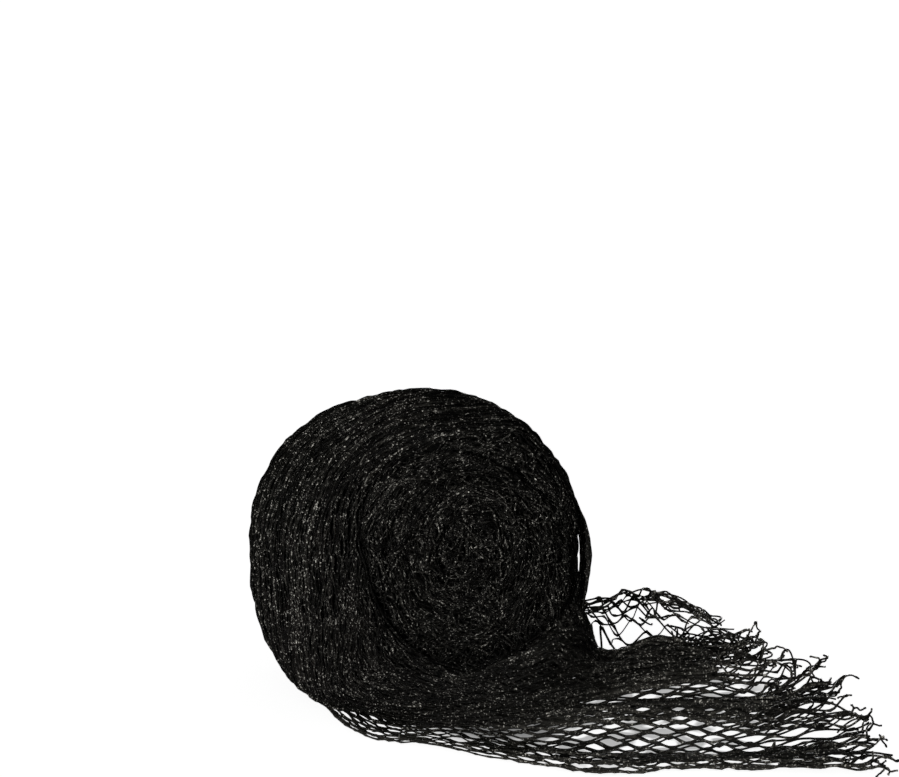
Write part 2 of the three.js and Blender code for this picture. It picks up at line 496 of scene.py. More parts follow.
@dataclass(frozen=True)
class FloorFinish:
    """A white studio floor, with painted patchy shade where the net lies on it and a painted contact shadow
    near the roll's foot.
    """

    name: str
    white: Colour = (0.94, 0.94, 0.94)
    shade: Colour = (0.43, 0.43, 0.43)
    contact_shadow: Colour = (0.20, 0.20, 0.20)
    shade_in: FloorPatch = FloorPatch(0.13, -0.16, 0.16, 0.15, 3.0)
    contact_shadow_in: FloorPatch = FloorPatch(0.025, -0.125, 0.085, 0.085, 1.6)
    patch: float = 0.026
    patch_start: float = 0.45
    patch_gain: float = 14.0
    rough: float = 0.85
    gloss: float = 0.1
    glow: float = 1.0

    def build(self) -> Material:
        """Builds the floor's material.

        Returns:
            The material.
        """
        desk = ShaderDesk(self.name)
        # Painted shade: noise patches under the net and a soft contact shadow near the roll.
        shade_cloud = (desk.noise(self.patch, 1.0) - self.patch_start) * self.patch_gain
        white = desk.mix(shade_cloud.at_most(self.shade_in.within(desk)), self.white, self.shade)
        white = desk.mix(self.contact_shadow_in.within(desk), white, self.contact_shadow)
        glow = {"Emission_Color": white, "Emission_Strength": self.glow}
        return desk.close(Base_Color=white, Roughness=self.rough, Specular_IOR_Level=self.gloss, **glow)


def add_object(name: str, data: Any) -> Piece:
    """Adds an object at the origin.

    Args:
        name: The object's name.
        data: Its mesh, lamp or camera.

    Returns:
        The object, linked to the scene.
    """
    made = bpy.data.objects.new(name, data)
    bpy.context.scene.collection.objects.link(made)
    return made


def cells(here: Array, there: Array, axis: int) -> Array:
    """Stacks the four corners of each cell between two neighbouring steps, in order round it."""
    return np.stack([here[:, :-1], there[:, :-1], there[:, 1:], here[:, 1:]], axis)


def mesh_object(
    name: str, points: Array, faces: list[Array], lay: Array, tones: Array, material: Material
) -> Piece:
    """Makes a smooth mesh object from arrays.

    Args:
        name: The object's name.
        points: The vertices.
        faces: The vertex numbers of the faces, one array for each number of corners.
        lay: The UV of each face corner.
        tones: The tone of each vertex.
        material: The finish.

    Returns:
        The object, at the origin.
    """
    sizes = np.concatenate([np.full(len(group), group.shape[1]) for group in faces])
    corners = np.concatenate([group.ravel() for group in faces])
    mesh = bpy.data.meshes.new(name)
    mesh.vertices.add(len(points))
    mesh.loops.add(len(corners))
    mesh.polygons.add(len(sizes))
    mesh.vertices.foreach_set("co", points.astype(np.float32).ravel())
    mesh.loops.foreach_set("vertex_index", corners.astype(np.int32))
    mesh.polygons.foreach_set("loop_start", (np.cumsum(sizes) - sizes).astype(np.int32))
    mesh.polygons.foreach_set("use_smooth", np.ones(len(sizes), dtype=bool))
    mesh.update(calc_edges=True)
    mesh.uv_layers.new(name=TWINE_MAP).uv.foreach_set("vector", lay.astype(np.float32).ravel())
    layer = mesh.attributes.new(TONE_LAYER, "FLOAT", "POINT")
    layer.data.foreach_set("value", tones.astype(np.float32))
    mesh.materials.append(material)
    return add_object(name, mesh)


@dataclass
class TwineBundle:
    """Many twines that are joined into one closed mesh."""

    name: str
    sides: int = 4
    points: list[Array] = field(default_factory=list)
    quads: list[Array] = field(default_factory=list)
    caps: list[Array] = field(default_factory=list)
    quad_map: list[Array] = field(default_factory=list)
    cap_map: list[Array] = field(default_factory=list)
    tones: list[Array] = field(default_factory=list)
    count: int = 0

    def add(self, paths: Array, normals: Array, radii: Array, tones: Array) -> TwineBundle:
        """Adds twines of one number of points.

        Args:
            paths: The points of each twine, as twines by points by 3.
            normals: Which way is outwards, for all the points or for each.
            radii: The twine's radius at each point.
            tones: How light each twine looks, from 0 to 1, one for each twine or for each point; it carries
                painted shade in creases and near the roll.

        Returns:
            The bundle itself.
        """
        many, steps, _ = paths.shape
        along = unit(np.gradient(paths, axis=1))
        out = unit(normals - (normals * along).sum(-1, keepdims=True) * along)
        aside = np.cross(along, out)
        turn = (np.arange(self.sides) * (math.tau / self.sides))[:, None]
        ring = np.cos(turn) * out[:, :, None, :] + np.sin(turn) * aside[:, :, None, :]
        points = paths[:, :, None, :] + radii[:, :, None, None] * ring
        points[..., 2] = np.maximum(points[..., 2], FLOOR_CLEARANCE)
        number = self.count + np.arange(many * steps * self.sides).reshape(many, steps, self.sides)
        strides = np.linalg.norm(np.diff(paths, axis=1), axis=-1)
        run = np.concatenate([np.zeros((many, 1)), np.cumsum(strides, axis=1)], axis=1)
        run = np.repeat(run[:, :, None], self.sides, axis=2)
        share = np.broadcast_to(np.arange(self.sides) / self.sides, run.shape)
        here, there = np.stack([run, share], -1), np.stack([run, share + 1 / self.sides], -1)
        each = np.broadcast_to(tones.reshape(many, -1), (many, steps))
        self.points.append(points.reshape(-1, 3))
        self.quads.append(cells(number, np.roll(number, -1, axis=2), -1).reshape(-1, 4))
        self.caps.append(np.concatenate([number[:, 0, ::-1], number[:, -1]]))
        self.quad_map.append(cells(here, there, -2).reshape(-1, 2))
        self.cap_map.append(np.concatenate([here[:, 0], here[:, -1]]).reshape(-1, 2))
        self.tones.append(np.repeat(each.ravel(), self.sides))
        self.count += number.size
        return self

    def build(self, material: Material) -> Piece:
        """Makes the mesh object of all the twines.

        Args:
            material: The twine's finish.

        Returns:
            The object, at the origin.
        """
        faces = [np.concatenate(self.quads), np.concatenate(self.caps)]
        lay, tones = np.concatenate(self.quad_map + self.cap_map), np.concatenate(self.tones)
        return mesh_object(self.name, np.concatenate(self.points), faces, lay, tones, material)


@dataclass(frozen=True)
class Crease:
    """A groove over the roll's front, as rows of the angle and the run from the middle of the end."""

    rows: tuple[Span, ...]
    first: float
    last: float
    width: float
    depth: float
    fade: float = 14.0
    even: float = 16.0
    readings: int = 9

    def run(self, degrees: Array) -> Array:
        """Finds the groove's distance from the middle of the end, evened out over some degrees.

        Args:
            degrees: The angle about the axis.

        Returns:
            The distance at each angle.
        """
        angles, runs = np.array(self.rows).T
        spread = np.asarray(degrees, float)[..., None] + np.linspace(-self.even, self.even, self.readings)
        return np.interp(spread % 360.0, angles, runs).mean(axis=-1)

    def sink(self, degrees: Array, from_end: Array) -> Array:
        """Finds how far the groove sinks the turns.

        Args:
            degrees: The angle about the axis.
            from_end: The running length along the meridian from the middle of the front end.

        Returns:
            The depth at each place.
        """
        here = np.asarray(degrees, float) % 360.0
        across = (from_end - self.run(here)) / self.width
        inside = plateau(here, (self.first, self.first + self.fade), (self.last - self.fade, self.last))
        return self.depth * inside * np.exp(-across * across)


@dataclass(frozen=True)
class Swelling:
    """A soft bulge or hollow of the roll's side: its angles, and its height and ends along Y in mm."""

    middle: float
    reach: float
    height: float
    start: float
    full: float

    def rise(self, degrees: Array, along: Array) -> Array:
        """How far the side bulges at each angle and place along Y."""
        share = smoothstep(along / MILLIMETRE, self.start, self.full)
        return self.height * MILLIMETRE * share * bump_of(turn_away(degrees, self.middle), 0.0, self.reach)


@dataclass(frozen=True)
class WoundForm:
    """The wound roll's outer form, in the same values as the part's source, and its finer relief.

    The meridian's rows are the share of the radius and the place along Y in millimetres. The rows of
    face_sway are a height, a number of waves round the axis and their phase.
    """

    radius: float = 0.133
    spread: float = 1.05
    rest_sink: float = 0.0015
    turn_step: float = 0.007
    exit_angle: float = 300.0
    outer: Span = (0.66, 0.94)
    left_slack: Span = (4.0, 8.0)
    right_slack: Span = (2.4, 6.0)
    slack_along: Span = (-0.060, 0.040)
    flare_reach: float = 0.048
    flare_rise: Span = (215.0, 272.0)
    flare_fall: Span = (290.0, 340.0)
    slip_share: Span = (0.64, 0.9)
    slip_along: Span = (-0.070, 0.080)
    face_turn: float = 0.026
    face_turn_depth: float = 0.002
    face_along: Span = (0.078, 0.092)
    face_rise: Span = (0.06, 0.16)
    face_fall: Span = (0.68, 0.84)
    face_sway: tuple[Place, ...] = ((0.5, 2.0, 1.0), (0.4, 3.0, 0.0))
    ripple: float = 0.0009
    ripple_count: int = 5
    ripple_length: float = 0.026
    core_rise: float = 0.024
    core_power: float = 2.6
    meridian: tuple[Span, ...] = (
        (0.0, 86), (0.24, 94), (0.5, 98), (0.7, 97), (0.84, 92), (0.93, 82), (0.98, 64), (1.0, 34), (1.0, 0),
        (0.995, -40), (0.975, -68), (0.93, -84), (0.86, -94), (0.77, -100), (0.62, -103), (0.44, -103),
        (0.22, -100), (0.0, -93),
    )
    meridian_points: int = 900
    swellings: tuple[Swelling, ...] = (
        Swelling(66, 64.8, 7, 80, 10), Swelling(63, 19.8, 6, 50, 0),
        Swelling(94, 46.8, -6, 40, 80), Swelling(178, 75.6, 6, -40, 50),
    )
    rim: Crease = Crease(
        ((0, 0.116), (60, 0.118), (110, 0.125), (126, 0.132), (153, 0.111), (169, 0.094), (204, 0.085),
         (228, 0.090), (268, 0.098), (291, 0.099), (314, 0.094), (337, 0.120), (360, 0.116)),
        120, 352, 0.0036, 0.0064,
    )
    cleft: Crease = Crease(((36, 0.084), (64, 0.085), (85, 0.095), (112, 0.124)), 36, 112, 0.0030, 0.0050)
    slit_angle: float = 356.0
    slit_spread: float = 17.0
    slit_depth: float = 0.0045
    slit_rise: Span = (0.085, 0.118)
    slit_fall: Span = (0.17, 0.23)
    crease_dark: float = 0.0058
    probe: Span = (0.8, 0.001)

    def profile(self) -> tuple[Array, Array, Array]:
        """Reads the meridian from the middle of the back end to the middle of the front end.

        Returns:
            The running length, the radius share and the place along Y, in metres.
        """
        rows = np.array(self.meridian, float)
        read = spline(rows, np.linspace(0, len(rows) - 1, self.meridian_points))
        share, along = np.maximum(read[:, 0], 0.0), read[:, 1] * MILLIMETRE
        run = np.concatenate([[0.0], np.cumsum(np.hypot(np.diff(share * self.radius), np.diff(along)))])
        return run, share, along

    def length(self) -> float:
        """The whole running length of the meridian."""
        return float(self.profile()[0][-1])

    def station_at(self, share: Array | float, end: RollEnd) -> Array:
        """Finds where an end has a share of the radius.

        Args:
            share: The share of the radius.
            end: Which end.

        Returns:
            The running length along the meridian there.
        """
        runs, shares, _ = self.profile()
        half = len(runs) // 2
        if end is RollEnd.BACK:
            return np.interp(share, shares[:half], runs[:half])
        return runs[-1] - np.interp(share, shares[::-1][:half], (runs[-1] - runs[::-1])[:half])

    def sunk(self, degrees: Array, station: Array) -> Array:
        """Finds how far creases and the slit beside the slack turn sink the turns.

        Args:
            degrees: The angle about the axis.
            station: The running length along the meridian.

        Returns:
            The depth below the outer form at each place.
        """
        from_end = self.length() - np.asarray(station, float)
        slit = np.exp(-((turn_away(degrees, self.slit_angle) / self.slit_spread) ** 2))
        depth = self.slit_depth * slit * plateau(from_end, self.slit_rise, self.slit_fall)
        return depth + self.rim.sink(degrees, from_end) + self.cleft.sink(degrees, from_end)

    def slack_factor(self, angle: Array, along: Array) -> Array:
        """Finds how far the slack outer turns stand out below the axis.

        Args:
            angle: The angle about the axis in radians.
            along: The place along Y.

        Returns:
            A factor on the radius, 1 above the axis.
        """
        front = smoothstep(-along, *self.slack_along)
        left, right = (low + (high - low) * front for low, high in (self.left_slack, self.right_slack))
        power = np.where(np.cos(angle) < 0, left, right)
        reach = np.abs(np.cos(angle)) ** power + np.abs(np.sin(angle)) ** power
        return np.where(np.sin(angle) < 0, reach ** (-1 / power), 1.0)

    def surface(self, degrees: Array, station: Array) -> Array:
        """Finds points of the outer form.

        Args:
            degrees: The angle about the axis, counter-clockwise from the right.
            station: The running length along the meridian.

        Returns:
            The points, with the shape of degrees and station in front.
        """
        degrees, station = np.broadcast_arrays(np.asarray(degrees, float), np.asarray(station, float))
        runs, shares, alongs = self.profile()
        share, along = np.interp(station, runs, shares), np.interp(station, runs, alongs)
        angle, outer = np.radians(degrees), smoothstep(share, *self.outer)
        turns_in = ((self.exit_angle - degrees) % 360.0) / 360.0
        radius = share * self.radius - self.turn_step * turns_in * outer
        swell = self.ripple * np.sin(self.ripple_count * angle + along / self.ripple_length)
        swell = swell + sum(swelling.rise(degrees, along) for swelling in self.swellings)
        radius = (radius + outer * swell) * (1 + (self.slack_factor(angle, along) - 1) * outer)
        slip = smoothstep(share, *self.slip_share) * smoothstep(-along, *self.slip_along)
        flare = self.flare_reach * plateau(degrees % 360.0, self.flare_rise, self.flare_fall) * slip
        side = np.sign(along) * smoothstep(np.abs(along), *self.face_along)
        sway = sum(height * np.sin(count * angle + phase) for height, count, phase in self.face_sway)
        ridge = np.cos(math.tau * share * self.radius / self.face_turn - angle + sway)
        ridge = ridge * plateau(share, self.face_rise, self.face_fall)
        out_y = along - flare + side * self.face_turn_depth * ridge
        rise = self.core_rise * (1 - np.minimum(share, 1.0) ** self.core_power)
        height = radius * np.sin(angle) + self.radius - self.rest_sink + rise
        return np.stack([self.spread * radius * np.cos(angle), out_y, np.maximum(height, 0.0)], -1)

    def crease_shade_factor(self, degrees: Array, station: Array) -> Array:
        """How much of its tone each place keeps under the painted shade of creases: 1 on the outer form, 0
        deep in a crease.
        """
        return 1 - np.clip(self.sunk(degrees, station) / self.crease_dark, 0.0, 1.0)

    def laid(self, degrees: Array, station: Array, lift: Array | float) -> tuple[Array, Array]:
        """Finds points lifted off the outer form, with the way out there.

        Args:
            degrees: The angle about the axis.
            station: The running length along the meridian.
            lift: How far outside the form.

        Returns:
            The points and the outward normals.
        """
        turn, step = self.probe
        around = self.surface(degrees + turn, station) - self.surface(degrees - turn, station)
        onward = self.surface(degrees, station + step) - self.surface(degrees, station - step)
        out = unit(np.cross(around, onward))
        return self.surface(degrees, station) + out * (lift - self.sunk(degrees, station))[..., None], out


@dataclass
class RollHeart:
    """The closed dark body under the outer turns."""

    form: WoundForm
    name: str = "roll_heart"
    inset: float = 0.0048
    rows: int = 110
    columns: int = 220
    seam: float = 0.5

    def build(self, finish: Material) -> Piece:
        """Builds the body.

        Args:
            finish: The finish of the depth between the turns.

        Returns:
            The body's object.
        """
        stations = np.linspace(0.0, self.form.length(), self.rows)
        degrees = self.form.exit_angle + self.seam + np.arange(self.columns) * (360.0 / self.columns)
        points, _ = self.form.laid(*np.meshgrid(degrees, stations[1:-1]), -self.inset)
        ends = np.stack([points[0].mean(axis=0), points[-1].mean(axis=0)])
        points[..., 2] = np.maximum(points[..., 2], FLOOR_CLEARANCE)
        number = np.arange(points.size // 3).reshape(points.shape[:2])
        beside = np.roll(number, -1, axis=1)
        fans = [
            np.stack([np.full(self.columns, number.size), beside[0], number[0]], -1),
            np.stack([np.full(self.columns, number.size + 1), number[-1], beside[-1]], -1),
        ]
        faces = [cells(number[None], beside[None], -1).reshape(-1, 4), np.concatenate(fans)]
        lay = np.zeros((number.size + 2, 2))
        lay[:, 1] = np.concatenate([np.repeat(stations[1:-1], self.columns), stations[[0, -1]]])
        lay = lay[np.concatenate([group.ravel() for group in faces])]
        every = np.concatenate([points.reshape(-1, 3), ends])
        return mesh_object(self.name, every, faces, lay, np.zeros(len(every)), finish)


@dataclass
class Turns:
    """Some turns of the roll, with what all its turns share."""

    form: WoundForm
    name: str
    seed: int
    bar: float = 0.0195
    twine: float = 0.00096
    lane_pitch: float = 0.0028
    drift: Waves = Waves(0.315, (0.21, 0.11))
    snap: float = 2.0
    joint_from: float = 0.8

    def zigzag(self, run: Array, lanes: Array, rng: Random) -> tuple[Array, Array]:
        """Finds how chains of the net lean to their neighbours in turn.

        Args:
            run: The running length along each chain, as lanes by points.
            lanes: The number of each lane, as a column.
            rng: The seeded source of the irregularity.

        Returns:
            The lean from -1 to 1, and the share of a joint at each point.
        """
        drift = self.drift.read(rng, run, len(lanes))
        wave = np.sin(run * (math.pi / self.bar) + math.pi * (lanes % 2) + drift)
        lean = np.tanh(self.snap * wave) / math.tanh(self.snap)
        return lean, smoothstep(np.abs(wave), self.joint_from, 1.0)


@dataclass
class SideTurns(Turns):
    """One layer of closed net round the roll, with small hollows that part its strands."""

    deep: float = 0.0006
    step: float = 0.0048
    first_share: float = 0.90
    begin: float = 2.0
    sweep: float = 355.0
    overlap: float = 0.001
    lean: float = 0.42
    stray: Waves = Waves(0.0011, (0.5, 0.17, 0.07))
    uneven: Waves = Waves(0.0010, (0.13, 0.05, 0.027))
    group_height: float = 0.0010
    group_turn: float = 0.9
    group_sway: float = 2.0
    group_length: float = 0.11
    group_drift: float = 0.13
    slump: float = 0.22
    slump_rise: Span = (170.0, 240.0)
    slump_fall: Span = (290.0, 345.0)
    joint_swell: float = 0.32
    thickness: Span = (0.85, 1.15)
    hollows: int = 110
    hollow_seed: int = 20
    hollow_long: Span = (0.008, 0.024)
    hollow_wide: Span = (0.0016, 0.0042)
    hollow_deep: Span = (0.001, 0.004)
    hollow_aside: float = 0.8

    def parted(self, run: Array, station: Array, runs: Span, stations: Span) -> tuple[Array, Array]:
        """Parts the strands round small hollows, the same ones in every layer.

        Args:
            run: The running length round the roll at each point.
            station: The running length along the meridian at each point.
            runs: The least and the most run of a hollow.
            stations: The least and the most station of a hollow.

        Returns:
            How far each point moves aside along the meridian, and how far it sinks.
        """
        rng = np.random.default_rng(self.hollow_seed)
        spans = (runs, stations, self.hollow_long, self.hollow_wide, self.hollow_deep)
        aside, sink = np.zeros(run.shape), np.zeros(run.shape)
        for _ in range(self.hollows):
            at, across, long, wide, deep = (rng.uniform(*span) for span in spans)
            gap = (station - across) / wide
            near = np.exp(-(((run - at) / long) ** 2) - gap * gap * 0.5)
            aside += wide * self.hollow_aside * near * gap
            sink += deep * near
        return aside, sink

    def build(self, finish: Material) -> Piece:
        """Lays the layer.

        Args:
            finish: The twine's material.

        Returns:
            The layer's object.
        """
        rng, form = np.random.default_rng(self.seed), self.form
        first = form.station_at(self.first_share, RollEnd.BACK)
        points = int(math.tau * form.radius / self.step)
        degrees = form.exit_angle + self.begin + np.linspace(0, self.sweep, points)[None, :]
        last = form.length() - form.rim.run(degrees) + self.overlap
        lanes = np.arange(int((last.max() - first) / self.lane_pitch))[:, None]
        many = len(lanes)
        degrees = np.repeat(degrees, many, axis=0)
        run = np.radians(degrees) * form.radius
        lean, joint = self.zigzag(run, lanes, rng)
        stray = self.stray.read(rng, run, many)
        sway = self.group_sway * np.sin(run / self.group_length + lanes * self.group_drift)
        slump = self.slump * plateau(degrees % 360.0, self.slump_rise, self.slump_fall)
        share = ((lanes + 0.5 + self.lean * lean) / many) ** (1 - slump)
        station = first + share * (last - first) + stray
        lift = -self.deep + self.group_height * np.sin(lanes * self.group_turn + sway)
        lift = lift + self.uneven.read(rng, run, many)
        aside, sink = self.parted(run, station, (run.min(), run.max()), (first, last.max()))
        station = station + aside
        place, out = form.laid(degrees, station, lift - sink)
        radii = self.twine * (1 + self.joint_swell * joint) * rng.uniform(*self.thickness, (many, 1))
        # Painted shade: the tone falls to 0 deep in the creases.
        tones = rng.uniform(0, 1, (many, 1)) * form.crease_shade_factor(degrees, station)
        return TwineBundle(self.name).add(place, out, radii, tones).build(finish)


@dataclass
class SlumpedTurns(Turns):
    """The slack turns that sweep down round the slumped front of the roll."""

    many: int = 360
    points: int = 38
    shares: Span = (0.66, 1.0)
    share_power: float = 0.8
    begins: Span = (165.0, 300.0)
    sweeps: Span = (30.0, 80.0)
    slope: Span = (-0.014, 0.007)
    slope_sweep: float = 60.0
    stray: Waves = Waves(0.0013, (0.10, 0.045, 0.026))
    deep: float = 0.0008
    uneven: Waves = Waves(0.0016, (0.12, 0.05, 0.03))
    from_end: float = 0.01
    tone: float = 0.85
    tone_power: float = 1.4

    def build(self, finish: Material) -> Piece:
        """Lays these turns.

        Args:
            finish: The twine's material.

        Returns:
            The object of these turns.
        """
        rng, form, column = np.random.default_rng(self.seed), self.form, (self.many, 1)
        share = rng.uniform(*self.shares, column) ** self.share_power
        front = form.station_at(share, RollEnd.FRONT)
        begin, sweep = rng.uniform(*self.begins, column), rng.uniform(*self.sweeps, column)
        way = np.linspace(0, 1, self.points)[None, :]
        degrees = begin + sweep * way
        run = np.radians(degrees - begin) * form.radius
        slope = rng.normal(*self.slope, column) * sweep / self.slope_sweep
        station = np.minimum(front + slope * (way - 0.5), form.length() - form.rim.run(degrees))
        station = station + self.stray.read(rng, run, self.many)
        lift = self.uneven.read(rng, run, self.many) - self.deep
        place, out = form.laid(degrees, np.minimum(station, form.length() - self.from_end), lift)
        # Painted shade: the tone falls to 0 deep in the creases.
        tones = self.tone * rng.uniform(0, 1, column) ** self.tone_power * form.crease_shade_factor(degrees, station)
        radii = np.full(degrees.shape, self.twine)
        return TwineBundle(self.name).add(place, out, radii, tones).build(finish)


@dataclass(frozen=True)
class StrandCut:
    """How the strands of one layer over an end of the roll are cut and bent."""

    length: float
    points: int
    stray: float
    waviness: float


@dataclass
class EndTurns(Turns):
    """The edges of the turns over one end of the roll, in layers that show through each other."""

    end: RollEnd = RollEnd.FRONT
    layers: int = 5
    felted_layers: int = 2
    long: StrandCut = StrandCut(0.075, 18, 0.28, 0.20)
    felted: StrandCut = StrandCut(0.036, 10, 0.55, 0.28)
    reach: float = 0.112
    cover: float = 1.25
    crowding: float = 0.95
    tightest: float = 0.030
    bend_spread: float = 7.0
    heading: float = 0.05
    heart: float = 0.03
    heart_stray: float = 1.2
    least_reach: float = 0.003
    over_reach: float = 0.004
    over_rim: float = 0.0015
    waves: Waves = Waves(1.0, (0.11, 0.045, 0.024))
    deep: float = 0.0036
    layer_rise: float = 0.0012
    uneven: Waves = Waves(0.0018, (0.16, 0.06, 0.03))
    knot_phases: Span = (0.0, 6.0)
    knot_from: float = 0.85
    knot_swell: float = 0.4
    thin: float = 0.84
    thickness: Span = (0.7, 1.1)

    def strands(self, cut: StrandCut, rng: Random) -> tuple[Array, Array, Array]:
        """Strews the strands of one layer over the end.

        Args:
            cut: How they are cut and bent.
            rng: The seeded source of where they lie.

        Returns:
            The run along each strand, and its angle and distance from the axis.
        """
        many = int(self.cover * math.pi * self.reach**2 / (self.lane_pitch * self.crowding * cut.length))
        column = (many, 1)
        middle = self.reach * np.sqrt(rng.uniform(0.0, 1.0, many))[:, None]
        bearing = rng.uniform(0, math.tau, column)
        run = np.repeat(np.linspace(-cut.length / 2, cut.length / 2, cut.points)[None, :], many, axis=0)
        bend = 1 / np.maximum(middle, self.tightest) + rng.normal(0, self.bend_spread, column)
        waves = cut.waviness * self.waves.read(rng, run, many)
        heading = bearing + math.pi / 2 + rng.normal(self.heading, cut.stray, column) + bend * run
        heading = heading + waves + self.heart_stray * rng.normal(0, 1, column) * (middle < self.heart)
        stride, centre = cut.length / (cut.points - 1), cut.points // 2
        walk = np.cumsum(np.stack([np.cos(heading), np.sin(heading)]) * stride, axis=2)
        start = middle * np.stack([np.cos(bearing), np.sin(bearing)])
        right, above = start + walk - walk[:, :, centre : centre + 1]
        away = np.clip(np.hypot(right, above), self.least_reach, self.reach + self.over_reach)
        return run, np.degrees(np.arctan2(above, right)), away

    def build(self, finish: Material) -> Piece:
        """Lays the turns.

        Args:
            finish: The twine's material.

        Returns:
            The object of all these turns.
        """
        rng, form, bundle = np.random.default_rng(self.seed), self.form, TwineBundle(self.name)
        for layer in range(self.layers):
            cut = self.felted if layer >= self.layers - self.felted_layers else self.long
            run, degrees, away = self.strands(cut, rng)
            column = (len(run), 1)
            station = form.station_at(away / form.radius, self.end)
            if self.end is RollEnd.FRONT:
                station = np.maximum(station, form.length() - (form.rim.run(degrees) + self.over_rim))
            lift = self.layer_rise * layer - self.deep + self.uneven.read(rng, run, len(run))
            place, out = form.laid(degrees, station, lift)
            knots = np.abs(np.sin(run * (math.pi / self.bar) + rng.uniform(*self.knot_phases, column)))
            knots = self.knot_swell * smoothstep(knots, self.knot_from, 1.0)
            radii = self.twine * (self.thin + knots) * rng.uniform(*self.thickness, column)
            # Painted shade: the tone falls to 0 deep in the creases.
            bundle.add(place, out, radii, rng.uniform(0, 1, column) * form.crease_shade_factor(degrees, station))
        return bundle.build(finish)


@dataclass
class SlackTurn(Turns):
    """The outermost turn that stands off the roll on its right."""

    lanes: int = 10
    points: int = 60
    sweep: Span = (-36.0, 44.0)
    front: float = 0.088
    pitch: float = 0.0022
    lean: float = 0.0010
    stand: float = 0.0105
    stand_at: Span = (-4.0, 35.0)
    stand_power: float = 0.8
    stand_loss: float = 0.8
    deep: float = 0.001
    joint_swell: float = 0.3
    sides: int = 5

    def build(self, finish: Material) -> Piece:
        """Lays the slack turn.

        Args:
            finish: The twine's material.

        Returns:
            The slack turn's object.
        """
        rng, form = np.random.default_rng(self.seed), self.form
        runs, _, alongs = form.profile()
        lanes = np.arange(self.lanes)[:, None]
        degrees = np.linspace(*self.sweep, self.points)[None, :].repeat(self.lanes, axis=0)
        lean, joint = self.zigzag(np.radians(degrees) * form.radius, lanes, rng)
        station = np.interp(self.front, -alongs, runs) - (lanes + 0.5) * self.pitch + lean * self.lean
        away = bump_of(degrees, *self.stand_at) ** self.stand_power
        stand = self.stand * away * (1 - self.stand_loss * lanes / lanes[-1])
        place, out = form.laid(degrees, station, form.sunk(degrees, station) + stand - self.deep)
        radii = self.twine * (1 + self.joint_swell * joint)
        bundle = TwineBundle(self.name, self.sides)
        return bundle.add(place, out, radii, rng.uniform(0, 1, self.lanes)).build(finish)


@dataclass
class WoundRoll:
    """The roll: its dark heart, the turns on its side and ends, and the slack outermost turn."""

    form: WoundForm
    deeper: float = 0.0029
    back_layers: int = 2
    seed: int = 11

    def build(self) -> list[Piece]:
        """Builds and dresses the whole roll.

        Returns:
            Its pieces, the heart first.
        """
        twine, form, seed = TwineFinish("wound_twine").build(), self.form, self.seed
        heart = RollHeart(form).build(HeartFinish("turns_in_shade").build())
        turns = (
            SideTurns(form, "side_turns", seed),
            SideTurns(form, "side_turns_below", seed + 1, deep=self.deeper),
            EndTurns(form, "front_turns", seed + 2),
            EndTurns(form, "back_turns", seed + 3, end=RollEnd.BACK, layers=self.back_layers),
            SlumpedTurns(form, "slumped_turns", seed + 4),
            SlackTurn(form, "slack_turn", seed + 5),
        )
        return [heart, *(each.build(twine) for each in turns)]


@dataclass(frozen=True)
class FoldLine:
    """One line of the loose net from the roll to the cut edge, with its points in millimetres."""

    lane: float
    points: tuple[Place, ...]


@dataclass(frozen=True)
class Pleats:
    """Small folds along a dense band of the loose net, with their shift and lift in millimetres.

    Past the share of the way to the cut edge at which they open, one chain in so many runs on.
    """

    first: float
    last: float
    period: float
    shift: float
    lift: float
    opens: float
    every: int
    fade: float = 3.0
    rise: Span = (0.25, 0.5)
    flatten: float = 0.6
    flatter: Span = (0.8, 1.0)
    sway: float = 1.5
    sway_turn: float = 6.0

    def read(self, along: Array, lane: Array) -> tuple[Array, Array]:
        """Finds how far the folds move the net.

        Args:
            along: The share of the way from the roll to the cut edge.
            lane: The lane of the net.

        Returns:
            The shift along Y and the lift at each point.
        """
        part = plateau(lane, (self.first, self.first + self.fade), (self.last - self.fade, self.last))
        part = part * smoothstep(along, *self.rise) * (1 - self.flatten * smoothstep(along, *self.flatter))
        turn = lane * (math.tau / self.period) + self.sway * np.sin(along * self.sway_turn + self.first)
        lift = part * self.lift * MILLIMETRE * (0.5 + 0.5 * np.cos(turn))
        return part * self.shift * MILLIMETRE * np.sin(turn), lift


@dataclass(frozen=True)
class NetLayer:
    """One layer of the loose net, which lies in several layers where it is dense.

    It runs over its lanes from the share start of the way to the share reach. It is offset by a share
    of a lane and dropped below the first layer where that one lies high.
    """

    name: str
    first: int
    last: int
    offset: float
    drop: float
    thick: float = 1.0
    reach: float = 1.0
    start: float = 0.0
    sides: int = 4
    frays: bool = False


@dataclass(frozen=True)
class MeshLook:
    """The meshes of one region: half a mesh's run, and how its chains wander, swell and thin."""

    half: float
    wander: float
    joint: float
    thin: float


@dataclass(frozen=True)
class EdgeCurl:
    """The curl of the cut edge, which rises and falls from lane to lane."""

    height: float = 0.013
    along: Span = (0.84, 1.0)
    turn: float = 0.95
    sway: float = 1.2
    drift: float = 0.31
    lanes: Span = (8.0, 16.0)
    loss: float = 0.55
    loss_lanes: Span = (48.0, 60.0)

    def lift(self, along: Array, lane: Array) -> Array:
        """Finds how far the edge curls up.

        Args:
            along: The share of the way from the roll to the cut edge.
            lane: The lane of the net.

        Returns:
            The lift at each point.
        """
        crest = 0.5 + 0.5 * np.sin(lane * self.turn + self.sway * np.sin(lane * self.drift))
        fade = smoothstep(lane, *self.lanes) * (1 - self.loss * smoothstep(lane, *self.loss_lanes))
        return self.height * smoothstep(along, *self.along) * crest * fade


@dataclass(frozen=True)
class DrawnTwine:
    """The front lanes near the roll, where the twine is drawn thinner."""

    least: float = 0.10
    more: float = 0.26
    rise: Span = (0.10, 0.28)
    fall: Span = (0.30, 0.60)
    lanes: Span = (54.0, 60.0)

    def thinned(self, along: Array, lane: float) -> Array:
        """How much of its radius the twine of a lane loses along the way to the cut edge."""
        drawn = self.least + self.more * plateau(along, self.rise, self.fall)
        return drawn * smoothstep(lane, *self.lanes) * (1 - smoothstep(along, *self.fall))


